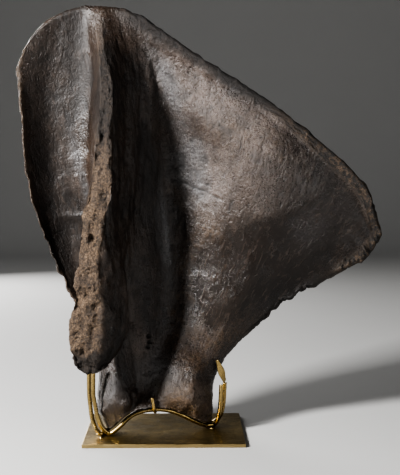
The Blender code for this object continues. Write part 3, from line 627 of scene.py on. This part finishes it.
# the lattice's six sides as one closed mesh, with the zones as values on its points
def makeBlade(material):
    c, r = spreadPlaces(blade["columns"]), spreadPlaces(blade["rows"])
    lattice, zones = boneLattice(c, r)
    index = np.arange(lattice[..., 0].size).reshape(lattice.shape[:3])
    sides = np.concatenate([
        quads(index[0]), quads(index[:, 0].T), quads(index[:, -1].T)[:, ::-1],
        quads(index[:, :, 0]), quads(index[:, :, -1])[:, ::-1]])
    faces = sides.tolist() + widerFaces(index[-1])
    used = np.unique(np.concatenate([sides.ravel(), index[-1, ::2, ::2].ravel()]))
    newIndex = np.zeros(index.size, int)
    newIndex[used] = np.arange(len(used))
    points = lattice.reshape(-1, 3)[used]
    bone = newPiece("fossilBlade", points, [newIndex[face].tolist() for face in faces], material)

    # rims keep their finish through the thickness, the rest fades towards the inner face
    kept = np.maximum(np.linspace(1, 0, len(lattice))[:, None, None], zones["rims"][None])
    greyShare, greySize, greySeed = blade["innerGrey"]
    for name in boneLook["reads"]:
        zone = zones[name][None] * kept
        if name == "paleAndPaintedLight":
            clouds = ramp(layeredGrain(lattice, greySize, greySeed), -0.5, 0.7)
            zone = zone + greyShare * clouds * (1 - kept)
        addValues(bone.data, name, np.broadcast_to(zone, lattice.shape[:3]).reshape(-1)[used])
    fibreWay = bone.data.attributes.new("fibreWay", "FLOAT_VECTOR", "POINT")
    fibreWay.data.foreach_set("vector", fanPlaces(points).astype(np.float32).ravel())
    return bone


# a material and short ways to add linked shader nodes to it
class Nodes:
    def __init__(self, name):
        self.material = bpy.data.materials.new(name)
        self.material.use_nodes = True
        self.tree = self.material.node_tree
        self.shader = self.tree.nodes["Principled BSDF"]

    def add(self, kind, inputs=None, **settings):
        node = self.tree.nodes.new(kind)
        for key, value in settings.items():
            setattr(node, key, value)
        for key, value in (inputs or {}).items():
            self.plug(value, node.inputs[key])
        return node

    def plug(self, value, socket):
        if isinstance(value, bpy.types.NodeSocket):
            self.tree.links.new(value, socket)
        elif socket.type == "RGBA" and len(value) == 3:
            socket.default_value = (*value, 1.0)
        else:
            socket.default_value = value

    def math(self, operation, a, b=0.5, clamp=False):
        return self.add("ShaderNodeMath", {0: a, 1: b}, operation=operation, use_clamp=clamp).outputs[0]

    def times(self, a, b):
        return self.math("MULTIPLY", a, b)

    def mix(self, share, a, b):
        node = self.add("ShaderNodeMix", data_type="RGBA")
        self.plug(share, node.inputs[0])
        self.plug(a, node.inputs[6])
        self.plug(b, node.inputs[7])
        return node.outputs[2]

    def noise(self, where, scale, detail=4.0, roughness=0.55, distortion=0.0):
        node = self.add("ShaderNodeTexNoise", {
            "Vector": where, "Scale": scale, "Detail": detail, "Roughness": roughness,
            "Distortion": distortion})
        return node.outputs["Fac"]

    def range(self, value, low, high, toLow=0.0, toHigh=1.0):
        node = self.add("ShaderNodeMapRange", {
            "Value": value, "From Min": low, "From Max": high, "To Min": toLow, "To Max": toHigh})
        node.interpolation_type = "SMOOTHSTEP"
        return node.outputs[0]

    def value(self, name, output="Fac"):
        return self.add("ShaderNodeAttribute", attribute_name=name).outputs[output]

    def bump(self, height, strength, distance, normal=None):
        inputs = {"Height": height, "Strength": strength, "Distance": distance}
        if normal is not None:
            inputs["Normal"] = normal
        return self.add("ShaderNodeBump", inputs).outputs[0]


boneLook = {
    "dark": (0.0070, 0.0046, 0.0034),
    "brown": (0.030, 0.0195, 0.0135),
    "light": (0.078, 0.057, 0.045),
    # pale tone: partly the bone's paler patches, mostly painted light and painted highlight
    "paleAndPaintedLight": (0.100, 0.077, 0.065),
    # cool tone: painted highlight and painted light
    "coolPaintedLight": (0.066, 0.063, 0.063),
    "tan": (0.082, 0.051, 0.029),
    "grain": (0.180, 0.122, 0.076),
    "rust": (0.074, 0.046, 0.026),
    # painted shade inside holes, pores and sunk relief
    "holeShade": (0.0035, 0.0025, 0.0020),
    # roughness of the clean bone, what rough and stained places add to it, what sleek ones take off
    "gloss": (0.24, 0.36),
    "dull": 0.34,
    "matt": 0.26,
    "sleek": 0.09,
    "specular": 0.45,
    # how much less bumpy polished and sleek places are, and how much more the pebbled ones
    "smoothed": 0.5,
    "pebbled": 0.8,
    # values that the mesh carries for this material
    "reads": (
        "tan", "rough", "warm", "paleAndPaintedLight", "coolPaintedLight", "stain", "polish", "pebbled", "sleek", "paintedHollowShade", "corner"),
    # scale, detail, roughness, distortion of each noise
    "noises": {
        "clouds": (5.5, 4, 0.55), "mottles": (30, 6, 0.62), "grit": (300, 5, 0.68),
        "speckle": (75, 6, 0.72, 0.4), "pebbles": (165, 3, 0.55, 0.3), "sponge": (320, 4, 0.68, 0.3),
        "crust": (135, 3, 0.6, 0.4)},
    "fibreNoises": {
        "fibres": (150, 6, 0.66, 0.5), "threads": (520, 4, 0.62, 0.4), "streaks": (62, 5, 0.62, 0.9)},
    # strength and distance of each bump, in metres
    "bumps": {
        "grit": (0.8, 0.0009), "pebbles": (0.6, 0.0018), "speckle": (0.6, 0.0026),
        "threads": (0.8, 0.0010), "fibres": (0.8, 0.0028)},
    "spongeBump": (1.0, 0.0052),
}


# dark mottled bone with paler and rusty stretches, painted shade in the stain ovals, on the rims, in its
# holes and sunk relief, painted light and painted highlights in the pale and cool ovals, and open sponge
# where it is broken
def makeBoneMaterial():
    n = Nodes("fossil bone")
    here = n.add("ShaderNodeTexCoord").outputs["Object"]
    fibreWay = n.value("fibreWay", "Vector")
    zone = {name: n.value(name) for name in boneLook["reads"]}
    noise = {name: n.noise(here, *values) for name, values in boneLook["noises"].items()}
    noise.update({name: n.noise(fibreWay, *values) for name, values in boneLook["fibreNoises"].items()})
    mottles, fibres, sponge = noise["mottles"], noise["fibres"], noise["sponge"]

    # what each layer covers, how much it covers there, and its tone
    layers = (
        (n.range(mottles, 0.50, 0.66), 0.30, "light"),
        # pale layer: painted light and painted highlight, partly paler tone
        (zone["paleAndPaintedLight"], n.range(mottles, 0.30, 0.70, 0.35, 0.95), "paleAndPaintedLight"),
        (n.range(noise["streaks"], 0.56, 0.40), 0.45, "brown"),
        # cool layer: painted highlight and painted light
        (zone["coolPaintedLight"], n.range(mottles, 0.25, 0.75, 0.55, 0.95), "coolPaintedLight"),
        (zone["warm"], n.range(noise["speckle"], 0.46, 0.60, 0.12, 0.80), "rust"),
        # stain layer: mostly painted shade, with a few real blotches
        (zone["stain"], 0.82, "dark"),
        # the fibre bump's ridges lighter and its grooves darker: streaky tone, partly painted light and
        # painted shade on the fibres' relief
        (n.range(fibres, 0.52, 0.66), 0.28, "light"),
        (n.range(fibres, 0.47, 0.34), 0.62, "dark"))
    # painted shade: darker in the grit bump's low spots, the sponge's and corner crust's pits, the sunk
    # relief and the broken end's cavity
    holes = (
        (n.range(noise["grit"], 0.50, 0.36), 0.55, "dark"),
        (n.times(n.range(sponge, 0.47, 0.33), zone["rough"]), 0.85, "holeShade"),
        (n.times(n.range(noise["crust"], 0.53, 0.46), zone["corner"]), 0.92, "holeShade"),
        (zone["paintedHollowShade"], 0.88, "holeShade"))
    colour = n.mix(n.range(noise["clouds"], 0.36, 0.64), boneLook["dark"], boneLook["brown"])
    for where, share, tone in layers:
        colour = n.mix(n.times(where, share), colour, boneLook[tone])
    brokenShare = n.times(zone["tan"], n.range(mottles, 0.32, 0.56, 0.45, 1.0))
    brokenShare = n.times(brokenShare, n.range(zone["stain"], 0.0, 1.0, 1.0, 0.35))
    # the sponge's raised grains paler: partly the bone's tone, partly painted highlight on them
    brokenTone = n.mix(n.range(sponge, 0.48, 0.62), boneLook["tan"], boneLook["grain"])
    colour = n.mix(brokenShare, colour, brokenTone)
    for where, share, tone in holes:
        colour = n.mix(n.times(where, share), colour, boneLook[tone])
    n.plug(colour, n.shader.inputs["Base Color"])

    gloss = n.range(noise["grit"], 0.36, 0.66, *boneLook["gloss"])
    gloss = n.math("SUBTRACT", gloss, n.times(zone["sleek"], boneLook["sleek"]))
    dull = n.times(n.math("MAXIMUM", zone["rough"], zone["paintedHollowShade"]), boneLook["dull"])
    matt = n.times(zone["stain"], n.math("SUBTRACT", 1.0, zone["sleek"]))
    dull = n.math("MAXIMUM", dull, n.times(matt, boneLook["matt"]))
    n.plug(n.math("ADD", gloss, dull, clamp=True), n.shader.inputs["Roughness"])
    n.shader.inputs["Specular IOR Level"].default_value = boneLook["specular"]

    worn = n.times(n.math("MAXIMUM", zone["sleek"], zone["polish"]), boneLook["smoothed"])
    uneven = n.math("ADD", n.math("SUBTRACT", 1.0, worn), n.times(zone["pebbled"], boneLook["pebbled"]))
    bumps = None
    for name, (strength, distance) in boneLook["bumps"].items():
        bumps = n.bump(n.times(noise[name], uneven), strength, distance, bumps)
    bumps = n.bump(n.times(sponge, zone["rough"]), *boneLook["spongeBump"], bumps)
    n.plug(bumps, n.shader.inputs["Normal"])
    return n.material


brassLook = {
    "bright": (0.36, 0.26, 0.105),
    "aged": (0.215, 0.153, 0.058),
    "stain": (0.070, 0.049, 0.020),
    # brighter colour of upright faces and edges: partly wear, partly painted reflection
    "worn": (0.34, 0.26, 0.135),
    # how many brush marks there are along x, y and z
    "brushing": (5, 70, 70),
}


# brass with clouds of age, blots where it is stained, upright faces and edges brighter (partly wear, partly a
# painted reflection), and fine brush marks
def makeBrassMaterial(name, stained, roughness):
    n = Nodes(name)
    here = n.add("ShaderNodeTexCoord").outputs["Object"]
    brushWhere = n.add("ShaderNodeMapping", {"Vector": here, "Scale": brassLook["brushing"]}).outputs[0]
    clouds = n.noise(here, 14, 5, 0.6, 0.5)
    blots = n.noise(here, 46, 6, 0.7, 0.8)
    brushed = n.noise(brushWhere, 8, 4, 0.6)
    fine = n.noise(here, 420, 4, 0.6)
    colour = n.mix(n.range(clouds, 0.36, 0.62), brassLook["bright"], brassLook["aged"])
    stain = n.times(n.range(blots, 0.42, 0.70), stained)
    colour = n.mix(stain, colour, brassLook["stain"])
    # painted reflection and wear: faces that stand upright, such as the plate's front edge, get the brighter
    # worn colour, flat tops keep the aged one
    normal = n.add("ShaderNodeNewGeometry").outputs["Normal"]
    upward = n.add("ShaderNodeSeparateXYZ", {0: normal}).outputs["Z"]
    worn = n.times(n.range(n.math("ABSOLUTE", upward), 0.97, 0.75), stained)
    colour = n.mix(worn, colour, brassLook["worn"])
    n.plug(colour, n.shader.inputs["Base Color"])
    n.shader.inputs["Metallic"].default_value = 1.0
    rough = n.range(brushed, 0.3, 0.7, roughness - 0.07, roughness + 0.08)
    n.plug(n.math("ADD", rough, n.times(stain, 0.22)), n.shader.inputs["Roughness"])
    bumps = None
    for height, strength, distance in ((brushed, 0.10, 0.0006), (fine, 0.14, 0.0003), (blots, 0.12, 0.0012)):
        bumps = n.bump(height, strength, distance, bumps)
    n.plug(bumps, n.shader.inputs["Normal"])
    return n.material


# brass stand: routes are in millimetres over the level that the blade's lift starts from
stand = {
    "plateSize": (335 * mm, 262 * mm, 8 * mm), "plateEdge": 1.0 * mm, "plateCorner": 2.0 * mm,
    "plateFlat": 4 * mm,
    "barRadius": 4.6 * mm, "barEnd": 1.4 * mm, "barSteps": (33, 190),
    "prongRadius": 3.6 * mm, "prongSteps": (7, 60),
    "studRadius": 4.5 * mm, "studHeight": 3.6 * mm,
    "clipThickness": 3 * mm, "clipEdge": 1.2 * mm, "clipSteps": 60,
    "clipWidths": ((0.0, 0.18, 0.42, 0.72, 1.0), (8 * mm, 12.5 * mm, 17 * mm, 12 * mm, 5 * mm)),
    "boneGap": 1.5 * mm, "plateGap": 0.3 * mm,
    "frontBar": (
        (-147, -77, 158), (-148, -76, 97), (-144, -75, 67), (-139, -73, 41), (-134, -72, 27.5),
        (-125.5, -69, 14), (-114, -65, 6.3), (-102, -66, 14), (-89, -67, 26), (-77, -66, 38),
        (-66, -63, 45.5), (-51, -60, 51), (-36, -57, 53.5), (-16, -52, 54), (10, -46, 49.5),
        (30, -40, 41.5), (45, -35, 33.5), (60, -28, 24), (73, -20, 16.5), (86, -10, 9.5), (97, 0, 6.5),
        (105, 1, 7.5), (110.5, -5, 14), (114, -10, 24), (116.5, -13, 35), (118.5, -15, 48),
        (119.5, -16, 64), (120.5, -15, 84), (121.5, -13, 98)),
    "rearBar": (
        (-158, -60, 150), (-158, -60, 94), (-156, -59, 68), (-153, -60, 42), (-148.5, -63, 26.5),
        (-141, -69, 13), (-133.5, -73, 6.6), (-131, -58, 6.3), (-125, -40, 6.8), (-112, -18, 12),
        (-95, -2, 25), (-77, 8, 36), (-59, 12, 45), (-38, 14, 52), (-16, 14, 53), (10, 14, 49),
        (34, 15, 40), (56, 18, 30), (76, 21, 19), (90, 22, 10.5), (102, 21, 6.3), (111, 18, 12),
        (118, 15, 21), (123, 13, 33), (126, 12, 46), (128, 11, 62), (129, 10, 84), (129.5, 7, 99)),
    "prong": ((-19, -61.5, 50), (-21, -66.5, 57), (-23, -68, 68), (-26, -66.5, 82)),
    "clip": ((129.2, 6.6, 101), (122.5, 1.4, 121.5), (112, -4, 150)),
    "studs": {
        "front_left_stud": (-131, -84), "front_right_stud": (101, -9),
        "rear_left_stud": (-141, -52), "rear_right_stud": (103, 31.5)},
}


# evenly spread points of the smooth curve through the given points
def smoothRoute(points, count):
    reach = np.insert(np.cumsum(np.linalg.norm(np.diff(points, axis=0), axis=1)), 0, 0.0)
    return smoothThrough(reach, points, np.linspace(0, reach[-1], count))


# route points in metres, raised by the blade's lift
def liftedRoute(points):
    return np.array(points, float) * mm + np.array([0.0, 0.0, blade["lift"]])


# the route moved off the bone's solid and up off the plate, to where a bar of the radius just clears
def keepClear(route, radius):
    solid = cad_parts["shoulder_blade"].data
    tree = BVHTree.FromPolygons([v.co for v in solid.vertices], [p.vertices for p in solid.polygons])
    near = np.array([tree.find_nearest(Vector(point))[0] for point in route])
    away = route - near
    reach = np.linalg.norm(away, axis=-1, keepdims=True)
    route = near + away / reach * np.maximum(reach, radius + stand["boneGap"])
    lowest = stand["plateSize"][2] + stand["plateGap"] + radius
    return np.stack([route[:, 0], route[:, 1], np.maximum(route[:, 2], lowest)], -1)


# route points crowded towards both ends, and how much the profile shrinks there to round the ends:
# edge * (1 - sqrt(1 - (1 - distance / edge)^2))
def roundedEnds(route, edge, count):
    reach = np.insert(np.cumsum(np.linalg.norm(np.diff(route, axis=0), axis=1)), 0, 0.0)
    start = edge * (1 - np.cos(np.linspace(0, math.pi / 2, 8)))
    middle = np.linspace(edge, reach[-1] - edge, count)[1:-1]
    places = np.concatenate([start, middle, reach[-1] - start[::-1]])
    near = np.clip(1 - np.minimum(places, reach[-1] - places) / edge, 0, 1)
    return smoothThrough(reach, route, places), edge * (1 - np.sqrt(1 - near ** 2)), places / reach[-1]


# an oval carried along a route: halfWide * |cos|^power across, halfHigh * |sin|^power upwards,
# both square to the route; a pole closes each end
def carried(name, route, halfWide, halfHigh, material, reference=(0, 1, 0), power=1.0, sides=28):
    along = unit(np.gradient(route, axis=0))
    side = unit(np.cross(along, reference))
    up = np.cross(side, along)
    turn = np.linspace(0, 2 * math.pi, sides, endpoint=False)
    wide = np.sign(np.cos(turn)) * np.abs(np.cos(turn)) ** power
    high = np.sign(np.sin(turn)) * np.abs(np.sin(turn)) ** power
    smallest = 0.02 * mm
    halfWide, halfHigh = np.maximum(halfWide, smallest), np.maximum(halfHigh, smallest)
    rings = (route[:, None] + side[:, None] * (halfWide[:, None] * wide)[..., None]
             + up[:, None] * (halfHigh[:, None] * high)[..., None])
    points = np.concatenate([rings.reshape(-1, 3), route[:1], route[-1:]])
    index = np.arange(len(route) * sides).reshape(-1, sides)
    index = np.concatenate([index, index[:, :1]], 1)
    first, last = len(points) - 2, len(points) - 1
    faces = quads(index).tolist()
    faces += np.stack([np.full(sides, first), index[0, 1:], index[0, :-1]], -1).tolist()
    faces += np.stack([np.full(sides, last), index[-1, :-1], index[-1, 1:]], -1).tolist()
    return newPiece(name, points, faces, material)


# round bar along a route that clears the bone and the plate
def makeBar(name, points, radius, end, steps, material):
    route = keepClear(smoothRoute(liftedRoute(points), steps[0]), radius)
    route, shrink, _ = roundedEnds(smoothRoute(route, steps[1]), end, steps[1])
    return carried(name, route, radius - shrink, radius - shrink, material)


# leaf that widens to its shoulder and narrows to its tip, with rounded edges
def makeClip(material):
    route = smoothRoute(liftedRoute(stand["clip"]), 30)
    route, shrink, share = roundedEnds(route, stand["clipEdge"], stand["clipSteps"])
    halfThick = stand["clipThickness"] / 2 - shrink
    halfWide = smoothThrough(*stand["clipWidths"], share) / 2 - shrink
    return carried(
        "brassClip", route, halfThick, halfWide, material, reference=(0, 0, 1), power=0.55, sides=48)


# dome: radius * cos(turn) wide at height * sin(turn)
def makeStud(name, x, y, material):
    turn = np.linspace(0, math.pi / 2, 12)
    z = stand["plateSize"][2] + stand["plateGap"] + stand["studHeight"] * np.sin(turn)
    route = np.stack([np.full_like(z, x * mm), np.full_like(z, y * mm), z], -1)
    radius = stand["studRadius"] * np.cos(turn)
    return carried(name, route, radius, radius, material)


# rectangle with rounded corners, drawn at each height of a profile that rounds its upper and lower edge
def makePlate(material):
    width, depth, thickness = stand["plateSize"]
    edge, corner, flat = stand["plateEdge"], stand["plateCorner"], stand["plateFlat"]
    quarter = math.pi / 2
    turn = np.linspace(0, quarter, 6)
    up, out = edge * (1 - np.cos(turn)), edge * (1 - np.sin(turn))
    rise = np.concatenate([[0], up, thickness - up[::-1], [thickness]])
    inset = np.concatenate([[flat], out, out[::-1], [flat]])
    angle = np.concatenate([turn + side * quarter for side in range(4)])
    diagonal = np.repeat(np.arange(4), len(turn)) * quarter + quarter / 2
    signX, signY = np.sign(np.cos(diagonal)), np.sign(np.sin(diagonal))
    radius = np.maximum(corner - inset, 0.2 * mm)[:, None]
    x = signX * (width / 2 - inset[:, None] - radius) + radius * np.cos(angle)
    y = signY * (depth / 2 - inset[:, None] - radius) + radius * np.sin(angle)
    points = np.stack([x, y, np.broadcast_to(rise[:, None], x.shape)], -1)
    index = np.arange(x.size).reshape(x.shape)
    ring = np.concatenate([index, index[:, :1]], 1)
    faces = quads(ring)[:, ::-1].tolist() + [index[0, ::-1].tolist(), index[-1].tolist()]
    return newPiece("brassPlate", points.reshape(-1, 3), faces, material)


studio = {
    "floorColour": (0.36, 0.355, 0.345), "floorRoughness": 0.85, "floorShade": 0.96,
    "wallDistance": 4.5,
    "floorSize": 18.0,
    "sweepRadius": 3.0,
    "keyPlace": (-2.05, -1.70, 1.78), "keySize": 0.50, "keyPower": 320,
    "fillPlace": (1.75, -1.6, 0.30), "fillSize": 1.8, "fillPower": 25,
    "rimPlace": (-1.5, 2.8, 1.2), "rimSize": 1.6, "rimPower": 90,
    "worldColour": (0.74, 0.77, 0.82), "worldStrength": 0.04,
    "aim": (0.06, 0.0, 0.45),
}


# floor that curves up into a wall: flat, then a quarter circle, then upright
def makeFloor():
    n = Nodes("pale studio paper")
    here = n.add("ShaderNodeTexCoord").outputs["Object"]
    shade = tuple(value * studio["floorShade"] for value in studio["floorColour"])
    n.plug(n.mix(n.noise(here, 3, 3), studio["floorColour"], shade), n.shader.inputs["Base Color"])
    n.shader.inputs["Roughness"].default_value = studio["floorRoughness"]
    half, start, radius = studio["floorSize"] / 2, studio["wallDistance"], studio["sweepRadius"]
    turn = np.linspace(0, math.pi / 2, 24)
    y = np.concatenate([[-half], start + radius * np.sin(turn), [start + radius]])
    z = np.concatenate([[0], radius * (1 - np.cos(turn)), [half]])
    x = np.array([[-half], [half]])
    points = np.stack(np.broadcast_arrays(x, y, z), -1)
    index = np.arange(x.size * y.size).reshape(2, -1)
    newPiece("studioFloor", points.reshape(-1, 3), quads(index).tolist(), n.material)


# square lamp that faces the middle of the object
def makeLamp(name, where, size, power):
    data = bpy.data.lights.new(name, "AREA")
    data.energy = power
    data.size = size
    lamp = bpy.data.objects.new(name, data)
    lamp.location = where
    lamp.rotation_euler = (Vector(studio["aim"]) - lamp.location).to_track_quat("-Z", "Y").to_euler()
    bpy.context.scene.collection.objects.link(lamp)


# floor, three lamps and a dim even light from all sides
def makeStudio():
    makeFloor()
    for name in ("key", "fill", "rim"):
        makeLamp(name, studio[name + "Place"], studio[name + "Size"], studio[name + "Power"])
    world = bpy.data.worlds.new("studio air")
    world.use_nodes = True
    background = world.node_tree.nodes["Background"]
    background.inputs[0].default_value = (*studio["worldColour"], 1)
    background.inputs[1].default_value = studio["worldStrength"]
    bpy.context.scene.world = world


# place in metres, turns in degrees, lens in mm
camera = {"place": (0.0415, -2.13, 0.5609), "tiltDown": 3.757, "turnRight": 0.919, "lens": 75.6, "sensor": 36}


def makeCamera():
    data = bpy.data.cameras.new("camera")
    data.lens = camera["lens"]
    data.sensor_width = camera["sensor"]
    eye = bpy.data.objects.new("camera", data)
    eye.location = camera["place"]
    eye.rotation_euler = (math.radians(90 - camera["tiltDown"]), 0, math.radians(-camera["turnRight"]))
    bpy.context.scene.collection.objects.link(eye)
    bpy.context.scene.camera = eye


# the piece rides on the one body and takes the place of its solid
def finishPiece(piece, node):
    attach(piece, "root")
    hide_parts(node)


makeCamera()
makeStudio()
bpy.context.scene.view_settings.look = "AgX - High Contrast"
print("camera, floor and lights are in place")

bone = makeBlade(makeBoneMaterial())
finishPiece(bone, "shoulder_blade")
print("shoulder blade:", len(bone.data.vertices), "points")

plateBrass = makeBrassMaterial("aged brass plate", 0.85, 0.34)
barBrass = makeBrassMaterial("aged brass bars", 0.35, 0.27)
finishPiece(makePlate(plateBrass), "base_plate")
for name, route, node in (
        ("brassFrontBar", "frontBar", "cradle_front_bar"), ("brassRearBar", "rearBar", "cradle_rear_bar")):
    bar = makeBar(name, stand[route], stand["barRadius"], stand["barEnd"], stand["barSteps"], barBrass)
    finishPiece(bar, node)
prong = makeBar(
    "brassProng", stand["prong"], stand["prongRadius"], stand["barEnd"], stand["prongSteps"], barBrass)
finishPiece(prong, "front_prong")
finishPiece(makeClip(barBrass), "edge_clip")
for node, (x, y) in stand["studs"].items():
    name = "brass" + node.replace("_", " ").title().replace(" ", "")
    finishPiece(makeStud(name, x, y, barBrass), node)
print("stand is finished")
